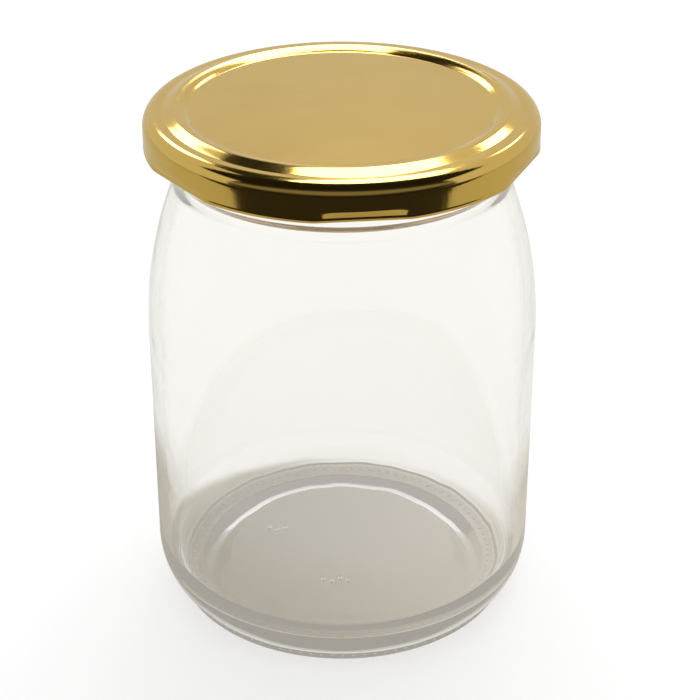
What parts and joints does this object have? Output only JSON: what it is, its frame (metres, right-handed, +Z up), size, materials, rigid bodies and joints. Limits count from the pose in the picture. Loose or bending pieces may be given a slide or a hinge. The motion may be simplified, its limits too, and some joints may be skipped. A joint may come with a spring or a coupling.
{
  "type": "glass jar with twist-off lid",
  "caption": "Round clear glass storage jar with a narrow rounded shoulder, closed by a gold metal twist-off lid.",
  "frame": {"origin": "centre of the bottom of the glass, on the surface the jar stands on", "axes": "+Z up along the jar's axis, -Y towards the viewer, +X to the viewer's right"},
  "size_m": [0.088, 0.088, 0.1202],
  "materials": {
    "clear_glass": "clear, smooth, very slightly warm",
    "gold_lacquer": "gold-lacquered tinplate, satin to glossy",
    "sealing_compound": "matt, pale"
  },
  "bodies": {
    "root": {"glass_jar": "clear_glass", "lid": "gold_lacquer", "sealing_ring": "sealing_compound"}
  },
  "joints": []
}
